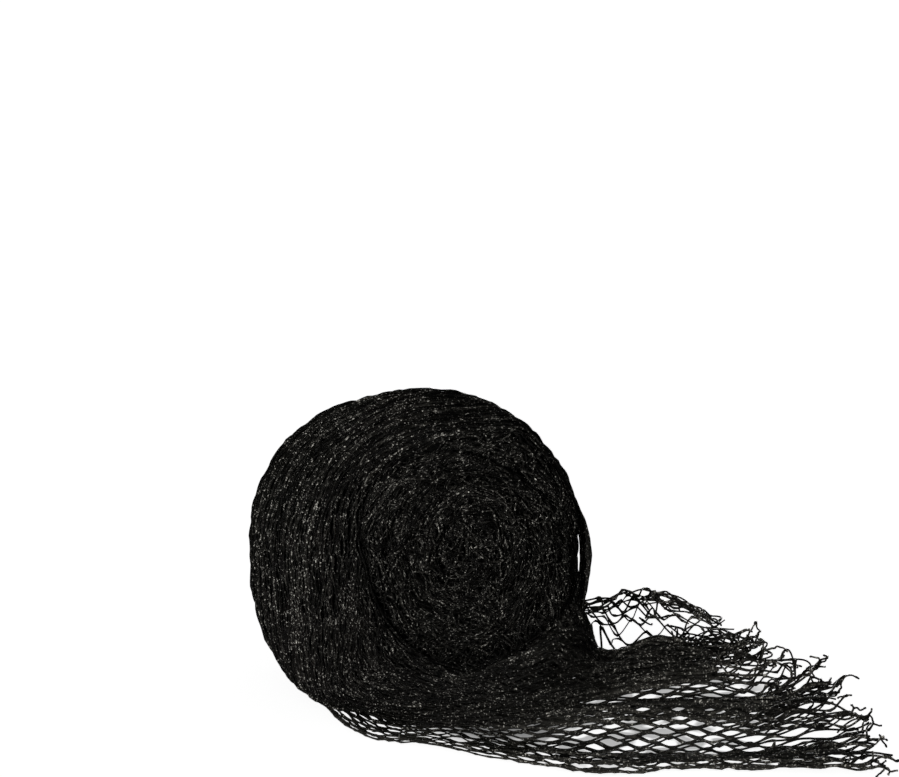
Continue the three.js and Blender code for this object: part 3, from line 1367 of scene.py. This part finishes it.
@dataclass(frozen=True)
class FrayedTip:
    """The curled cut ends at the tip of a chain."""

    most: int = 2
    steps: int = 11
    length: Span = (0.004, 0.022)
    long_share: float = 0.12
    long_factor: float = 1.9
    turn: Span = (-1.2, 1.2)
    turn_spread: float = 0.40
    climb: Span = (-0.3, 0.7)
    climb_spread: float = 0.25
    taper: float = 0.7
    knot_swell: float = 0.5
    tone: Span = (0.3, 1.0)
    out: Place = (0.1, 0.2, 1.0)

    def add(self, bundle: TwineBundle, rng: Random, tip: Array, away: Array, twine: float) -> None:
        """Adds the ends of one chain.

        Args:
            bundle: The twines to add to.
            rng: The seeded source of the curls.
            tip: Where the chain ends.
            away: Which way the chain runs there.
            twine: The twine's radius.
        """
        for _ in range(rng.integers(1, self.most + 1)):
            length = rng.uniform(*self.length)
            length *= self.long_factor if rng.uniform() < self.long_share else 1.0
            turn = rng.uniform(*self.turn) + np.cumsum(rng.normal(0, self.turn_spread, self.steps))
            climb = rng.uniform(*self.climb) + np.cumsum(rng.normal(0, self.climb_spread, self.steps))
            heading, level = math.atan2(away[1], away[0]) + turn, np.cos(climb)
            move = np.stack([np.cos(heading) * level, np.sin(heading) * level, np.sin(climb)], -1)
            path = tip + np.cumsum(move * (length / self.steps), axis=0)
            path[:, 2] = np.maximum(path[:, 2], twine)
            path = np.concatenate([tip[None], path])
            knot = self.knot_swell * (np.arange(len(path)) == self.steps - 1)
            thick = twine * np.linspace(1.0, self.taper, len(path)) * (1 + knot)
            bundle.add(path[None], np.array(self.out), thick[None], rng.uniform(*self.tone, 1))


@dataclass(frozen=True)
class LooseLoops:
    """Loose loops of twine in the arch and along the cut edge."""

    in_arch: int = 36
    at_cut: int = 70
    points: int = 14
    arch_lanes: Span = (2.0, 9.0)
    cut_lanes: Span = (9.0, 72.0)
    arch_depth: float = 0.3
    cut_along: Span = (0.86, 1.0)
    run: float = 0.06
    stray: Span = (1.2, 2.4)
    bow: float = 0.005
    bow_way: Place = (0.002, 0.0, 0.003)
    lift: float = 0.001
    knot_at: Span = (0.1, 0.9)
    knot_reach: float = 0.12
    knot_swell: float = 0.7
    out: Place = (0.1, 0.2, 1.0)

    def add(self, bundle: TwineBundle, rng: Random, net: LooseEnd) -> None:
        """Adds the loops.

        Args:
            bundle: The twines to add to.
            rng: The seeded source of the loops.
            net: The net that they hang from.
        """
        many = self.in_arch + self.at_cut
        high = np.arange(many) < self.in_arch
        lane = np.where(high, rng.uniform(*self.arch_lanes, many), rng.uniform(*self.cut_lanes, many))
        inside = 1.0 - self.arch_depth * rng.uniform(0.0, 1.0, many)
        along = np.where(high, inside, rng.uniform(*self.cut_along, many))
        onward = along + rng.normal(0, self.run, many)
        start = net.surface(along, lane)
        end = net.surface(onward, lane + rng.normal(0, np.where(high, *self.stray)))
        bow = rng.normal(0, self.bow, (many, 3)) + np.array(self.bow_way)
        way = np.linspace(0, 1, self.points)
        share = way[None, :, None]
        paths = start[:, None] + (end - start)[:, None] * share + 4 * share * (1 - share) * bow[:, None]
        paths[..., 2] = np.maximum(paths[..., 2] + self.lift, net.twine)
        knot = self.knot_swell * bump_of(way, rng.uniform(*self.knot_at), self.knot_reach)
        radii = np.repeat((net.twine * net.arch.thin * (1 + knot))[None], many, axis=0)
        bundle.add(paths, np.array(self.out), radii, rng.uniform(0, 1, many))


@dataclass
class LooseEnd:
    """The loose net on the floor: its folds, meshes and frayed cut edge."""

    lines: tuple[FoldLine, ...] = (
        FoldLine(1.0, ((112, 60, 30), (128, 52, 34), (148, 44, 36), (175, 34, 34),
                       (204, 46, 16), (238, 54, 6), (272, 54, 4), (306, 44, 3))),
        FoldLine(4.4, ((126, 30, 30), (140, 26, 34), (160, 20, 38), (190, 12, 40),
                       (211, 10, 47), (234, 6, 46), (262, 0, 36), (312, -10, 7))),
        FoldLine(8.0, ((128, -20, 40), (142, -18, 40), (158, -16, 38), (178, -14, 30),
                       (200, -22, 9), (236, -28, 5), (272, -36, 4), (318, -44, 3))),
        FoldLine(9.2, ((128, -40, 30), (140, -48, 24), (150, -56, 16), (168, -58, 10),
                       (194, -52, 10), (228, -44, 11), (262, -50, 4), (312, -52, 3))),
        FoldLine(14.0, ((117, -92, 84), (134, -82, 58), (146, -74, 28), (163, -66, 16),
                        (190, -57, 17), (224, -50, 16), (257, -60, 5), (314, -62, 4))),
        FoldLine(22.0, ((40, -128, 55), (74, -126, 64), (106, -112, 60), (134, -96, 30),
                        (162, -82, 15), (216, -68, 16), (264, -78, 4), (312, -80, 3))),
        FoldLine(32.0, ((-40, -112, 30), (0, -132, 30), (50, -142, 28), (100, -126, 22),
                        (150, -108, 14), (212, -98, 9), (269, -102, 4), (312, -104, 3))),
        FoldLine(40.0, ((-70, -80, 6), (-44, -134, 16), (-16, -144, 16), (39, -146, 12),
                        (126, -125, 3), (212, -117, 2), (274, -126, 2), (316, -130, 2))),
        FoldLine(42.0, ((-69, -80, 6), (-44, -134, 15), (-14, -145, 15), (39, -148, 11),
                        (124, -130, 3), (208, -128, 2), (272, -143, 2), (319, -140, 2))),
        FoldLine(45.0, ((-68, -80, 5), (-44, -134, 13), (-10, -146, 14), (37, -151, 10),
                        (115, -152, 2), (194, -158, 2), (260, -183, 2), (325, -159, 2))),
        FoldLine(48.5, ((-66, -80, 4), (-44, -134, 12), (-8, -147, 13), (36, -152, 9),
                        (112, -156, 2), (185, -172, 2), (252, -203, 2), (333, -178, 2))),
        FoldLine(52.5, ((-74, -80, 4), (-50, -133, 10), (-14, -150, 11), (31, -158, 9),
                        (106, -166, 9), (177, -187, 9), (242, -221, 9), (328, -212, 6))),
        FoldLine(57.0, ((-82, -80, 4), (-58, -132, 8), (-21, -154, 9), (22, -170, 5),
                        (101, -177, 2), (168, -203, 2), (231, -239, 2), (319, -248, 3))),
        FoldLine(60.5, ((-90, -76, 3), (-68, -131, 7), (-28, -158, 7), (12, -190, 2),
                        (83, -213, 2), (148, -243, 2), (210, -275, 2), (311, -289, 3))),
        FoldLine(64.0, ((-98, -44, 3), (-81, -129, 6), (-38, -163, 6), (3, -212, 2),
                        (62, -250, 2), (124, -283, 2), (188, -311, 2), (296, -332, 3))),
        FoldLine(67.8, ((-106, -34, 4), (-96, -127, 5), (-50, -171, 5), (-6, -230, 6),
                        (46, -280, 8), (109, -308, 8), (175, -332, 8), (284, -374, 5))),
        FoldLine(74.0, ((-113, -20, 2), (-111, -122, 2), (-62, -179, 2), (-10, -243, 2),
                        (42, -295, 2), (110, -315, 2), (175, -345, 2), (276, -399, 2))),
    )
    pleats: tuple[Pleats, ...] = (
        Pleats(9.0, 41.0, 9.0, 3.0, 5.0, 0.78, 2), Pleats(48.0, 57.0, 5.0, 3.0, 3.0, 0.95, 2),
        Pleats(65.0, 74.0, 5.0, 2.5, 3.0, 0.96, 2),
    )
    layers: tuple[NetLayer, ...] = (
        NetLayer("loose_net", 1, 75, 0.0, 0.0, sides=5, frays=True),
        NetLayer("arch_below", 2, 8, 0.45, 0.003, 0.8, frays=True),
        NetLayer("net_below", 9, 60, 0.22, 0.001, 0.9, 0.96),
        NetLayer("front_below", 60, 71, 0.22, 0.001, 0.9, 1.0, 0.42),
        NetLayer("dense_fold", 9, 41, 0.71, 0.003, 1.3, 0.79),
        NetLayer("dense_fold_below", 9, 41, 0.37, 0.005, 1.4, 0.79),
        NetLayer("dense_fold_deep", 9, 41, 0.53, 0.008, 1.5, 0.79),
        NetLayer("mid_fold", 48, 57, 0.5, 0.001, 1.5, 0.93),
        NetLayer("mid_fold_below", 48, 58, 0.3, 0.002, 1.5, 0.90),
        NetLayer("foot_net", 40, 63, 0.60, 0.001, 0.8, 0.38),
    )
    # Painted light: the loose net's twine is a lighter copy of the wound twine, with painted bounce light
    # near the floor and half the painted pit shade.
    finish: TwineFinish = TwineFinish(
        "lit_open_twine", deep=(0.0020, 0.0019, 0.0016), worn_and_lit=(0.0240, 0.0228, 0.0194), pitted=0.5, bounce=0.5
    )
    arch: MeshLook = MeshLook(0.0150, 0.14, 0.9, 0.84)
    spread: MeshLook = MeshLook(0.0145, 0.07, 0.5, 1.0)
    arch_lanes: int = 8
    curl: EdgeCurl = EdgeCurl()
    drawn: DrawnTwine = DrawnTwine()
    tip: FrayedTip = FrayedTip()
    tip_steps: int = 3
    loops: LooseLoops = LooseLoops()
    loops_seed: int = 20
    twine: float = 0.00108
    step: float = 0.0030
    probes: int = 80
    flat: Span = (0.60, 0.50)
    up: Place = (0.05, 0.1, 1.0)
    seed: int = 41
    half_lane: float = 0.47
    straight: float = 0.75
    rounding: float = 0.985
    drift: Waves = Waves(0.35, (0.23, 0.09))
    wander: Waves = Waves(1.0, (0.12, 0.05))
    joint_from: float = 0.82
    bed: float = 0.0010
    uneven: Waves = Waves(0.0012, (0.15, 0.06))
    arch_uneven: Waves = Waves(0.002, (0.09, 0.04))
    drop_over: Span = (0.003, 0.012)
    fray: float = 0.030
    calm_fray: float = 0.5
    calm_lane: int = 50
    fray_width: float = 0.2
    ragged: Span = (-0.06, 0.08)
    ragged_start: Span = (-0.06, 0.06)
    opening: Span = (-0.08, 0.05)
    cut_reach: float = 0.045
    cut_wander: float = 0.4
    cut_lift: Span = (-0.003, 0.009)
    cut_uneven: Waves = Waves(0.004, (0.06, 0.03))
    gather: Span = (0.28, 0.48)
    gather_wander: float = 0.030
    gather_shade: float = 0.4

    def surface(self, along: Array, lane: Array) -> Array:
        """Finds points of the folded net.

        Args:
            along: The share of the way from the roll to the cut edge, one for each point.
            lane: The lane of the net, one for each point.

        Returns:
            The points.
        """
        lanes = np.array([line.lane for line in self.lines])
        rows = np.array([line.points for line in self.lines], float) * MILLIMETRE
        here = spline(rows, np.interp(lane, lanes, np.arange(len(lanes))))
        last, each = here.shape[1] - 1, np.arange(len(here))
        place = np.clip(along, 0.0, 1.0) * last
        at = np.minimum(place.astype(int), last - 1)
        four = [here[each, np.clip(at + ahead, 0, last)] for ahead in NEIGHBOURS]
        points = cubic(four, (place - at)[:, None])
        for fold in self.pleats:
            shift, lift = fold.read(along, lane)
            points[:, 1] += shift
            points[:, 2] += lift
        points[:, 2] += self.curl.lift(along, lane)
        return points

    def chain(self, lane: int, layer: NetLayer, rng: Random) -> tuple[Array, Array, Array]:
        """Finds one chain of the net, from the cut edge to the roll.

        Args:
            lane: The chain's lane.
            layer: The layer that it belongs to.
            rng: The seeded source of the irregularity.

        Returns:
            The points, and the twine's radius and painted shade factor at each, lower near the roll.
        """
        middle, look = lane + 0.5 + layer.offset, self.arch if lane < self.arch_lanes else self.spread
        probe = self.surface(np.linspace(0, 1, self.probes), np.full(self.probes, middle))
        length = float(np.linalg.norm(np.diff(probe, axis=0), axis=1).sum())
        calm = look is self.arch or lane > self.calm_lane
        first, last = rng.uniform(0.0, self.fray * (self.calm_fray if calm else 1.0)), length
        folds = [fold for fold in self.pleats if fold.first <= lane < fold.last]
        every, opens = (folds[0].every, folds[0].opens) if folds else (1, 1.0)
        if lane % every:
            first = (1 - opens + rng.uniform(*self.ragged)) * length
        if layer.reach < 1:
            first = max(first, (1 - layer.reach + rng.uniform(*self.ragged)) * length)
        if layer.start > 0:
            last = (1 - layer.start + rng.uniform(*self.ragged_start)) * length
        run = np.arange(first, last, self.step)
        along, loose = 1 - run / length, np.exp(-run / self.cut_reach)
        opened = smoothstep(along, *(opens + margin for margin in self.opening)) * (lane % every == 0)
        side = lane % 2 + opened * (lane // every % 2 - lane % 2)
        drift = self.drift.read(rng, run)[0]
        wave = np.sin(run * (math.pi / look.half) + math.pi * (side + layer.offset) + drift)
        bars = np.arcsin(self.rounding * wave) / math.asin(self.rounding)
        lean = self.straight * bars + (1 - self.straight) * wave
        wander = (look.wander + self.cut_wander * loose) * self.wander.read(rng, run)[0]
        width = self.half_lane * (1 + opened * (every - 1))
        points = self.surface(along, middle + width * lean + wander)
        gathered = 1 - smoothstep(along, *self.gather)
        points[:, 1] += self.gather_wander * gathered * wander
        points[:, 2] -= layer.drop * smoothstep(points[:, 2], *self.drop_over)
        points[:, 2] += self.bed + self.uneven.read(rng, run)[0]
        if look is self.arch:
            points[:, 2] += self.arch_uneven.read(rng, run)[0]
        points[:, 2] += loose * (rng.uniform(*self.cut_lift) + self.cut_uneven.read(rng, run)[0])
        points[:, 2] = np.maximum(points[:, 2], self.twine)
        joint = look.joint * smoothstep(np.abs(wave), self.joint_from, 1.0)
        thin = look.thin * (1 - self.drawn.thinned(along, middle))
        radii = self.twine * layer.thick * (1 + joint) * thin
        # Painted shade: the net's tone is lowered where it gathers near the roll.
        return points, radii, 1 - self.gather_shade * gathered

    def build(self) -> list[Piece]:
        """Builds and dresses the loose net.

        Returns:
            The layers of the net, and its frayed ends and loops last.
        """
        twine, pieces = self.finish.build(), []
        ends = TwineBundle("frayed_ends", self.layers[0].sides)
        for number, layer in enumerate(self.layers):
            rng = np.random.default_rng(self.seed + number)
            net = TwineBundle(layer.name, layer.sides)
            for lane in range(layer.first, layer.last):
                points, radii, shade_factor = self.chain(lane, layer, rng)
                net.add(points[None], np.array(self.up), radii[None], rng.uniform(0, 1, 1) * shade_factor[None])
                if layer.frays and np.ptp(points[:, 0]) > self.fray_width:
                    away = unit(points[0] - points[self.tip_steps])
                    self.tip.add(ends, rng, points[0], away, self.twine)
            pieces.append(net.build(twine))
        self.loops.add(ends, np.random.default_rng(self.seed + self.loops_seed), self)
        return [*pieces, ends.build(twine)]


@dataclass(frozen=True)
class Lamp:
    """A square lamp that faces the roll and is flagged off the floor."""

    name: str
    place: Place
    size: float
    power: float
    lit: Lit = Lit.ALL
    aim: Place = (0.05, -0.08, 0.10)

    def hang(self, pieces: list[Piece]) -> None:
        """Hangs the lamp.

        Args:
            pieces: The pieces that it lights.
        """
        data = bpy.data.lights.new(self.name, "AREA")
        data.size, data.energy = self.size, self.power
        lamp = add_object(self.name, data)
        lamp.location = self.place
        right, back, up = np.array(self.aim) - np.array(self.place)
        turn = math.atan2(right, -back) + math.pi
        lamp.rotation_euler = (math.atan2(math.hypot(right, back), -up), 0.0, turn)
        group = bpy.data.collections.new(f"{self.name}_lit")
        for piece in pieces:
            group.objects.link(piece)
        lamp.light_linking.receiver_collection = group


@dataclass
class Studio:
    """The floor, the lights and the camera."""

    frame_width: int = 899
    frame_height: int = 777
    focal_pixels: float = 3660.0
    azimuth: float = -24.0
    elevation: float = 15.5
    distance: float = 3.404
    origin_pixel: Span = (420.0, 675.0)
    sensor: float = 36.0
    clip: Span = (0.05, 100.0)
    floor_size: float = 40.0
    floor_cells: int = 8
    room_light: float = 0.09
    lamps: tuple[Lamp, ...] = (
        Lamp("key_lamp", (-2.55, -2.15, 0.6), 0.35, 200.0),
        Lamp("front_lamp", (1.4, -2.7, 1.5), 0.9, 39.0),
        Lamp("top_lamp", (0.3, -1.6, 2.6), 1.0, 20.0, Lit.NET),
        Lamp("back_lamp", (1.7, 2.6, 0.35), 0.5, 190.0),
    )

    def camera(self) -> None:
        """Sets up the camera at the photograph's viewing angle."""
        data = bpy.data.cameras.new("camera")
        data.sensor_fit, data.sensor_width = "HORIZONTAL", self.sensor
        data.lens = self.focal_pixels * self.sensor / self.frame_width
        data.clip_start, data.clip_end = self.clip
        up, turn = math.radians(self.elevation), math.radians(-self.azimuth)
        ahead = np.array([math.sin(turn) * math.cos(up), math.cos(turn) * math.cos(up), -math.sin(up)])
        right = np.array([math.cos(turn), -math.sin(turn), 0.0])
        above = np.cross(right, ahead)
        aside = (self.origin_pixel[0] - self.frame_width / 2) / self.focal_pixels
        below = (self.origin_pixel[1] - self.frame_height / 2) / self.focal_pixels
        camera = add_object("camera", data)
        camera.location = -self.distance * (ahead + aside * right - below * above)
        camera.rotation_euler = (math.pi / 2 - up, 0.0, -turn)
        bpy.context.scene.camera = camera

    def floor(self) -> None:
        """Lays the white floor, which is stage."""
        bpy.ops.object.select_all(action="DESELECT")
        cuts = {"x_subdivisions": self.floor_cells, "y_subdivisions": self.floor_cells}
        bpy.ops.mesh.primitive_grid_add(size=self.floor_size, location=(0, 0, 0), **cuts)
        floor = bpy.context.object
        floor.name = "studio_floor"
        floor.data.materials.append(FloorFinish("white_floor_painted_shade").build())
        floor.visible_diffuse = floor.visible_glossy = False
        floor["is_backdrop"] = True

    def world(self) -> None:
        """Fills the room with even white light."""
        world = bpy.data.worlds.new("white_room")
        world.use_nodes = True
        sockets = world.node_tree.nodes["Background"].inputs
        sockets["Color"].default_value = (1.0, 1.0, 1.0, 1.0)
        sockets["Strength"].default_value = self.room_light
        bpy.context.scene.world = world

    def build(self, roll: list[Piece], net: list[Piece]) -> None:
        """Builds the whole studio.

        Args:
            roll: The pieces of the roll.
            net: The pieces of the loose net.
        """
        self.camera()
        self.floor()
        self.world()
        for lamp in self.lamps:
            lamp.hang(net if lamp.lit is Lit.NET else roll + net)
        bpy.context.scene.view_settings.view_transform = "Standard"


def settle(pieces: list[Piece], node: str) -> None:
    """Hides the CAD node and makes the pieces ride on the root.

    Args:
        pieces: The pieces.
        node: The CAD node that the pieces replace.
    """
    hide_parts(node)
    for piece in pieces:
        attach(piece, "root")
        LOG.info("%s: %d faces", piece.name, len(piece.data.polygons))


def write_sizes(cad_box: Any, visual_box: Any) -> None:
    """Turns the CAD box and the visual model's box into plain lists; it writes nothing.

    Args:
        cad_box: The box straight after loading.
        visual_box: The box of the finished model.
    """
    boxes = {"cad": cad_box, "visual": visual_box}
    plain = {key: [[float(x) for x in corner] for corner in box] for key, box in boxes.items()}


def main() -> None:
    """Builds the roll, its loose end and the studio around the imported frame."""
    logging.basicConfig(level=logging.INFO, format="%(message)s")
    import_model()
    cad_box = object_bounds()
    roll = WoundRoll(WoundForm()).build()
    settle(roll, "wound_roll")
    loose = LooseEnd()
    net = loose.build()
    settle(net, "loose_end")
    Studio().build(roll, net)
    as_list(net[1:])
    write_sizes(cad_box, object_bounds())


if __name__ == "__main__":
    main()
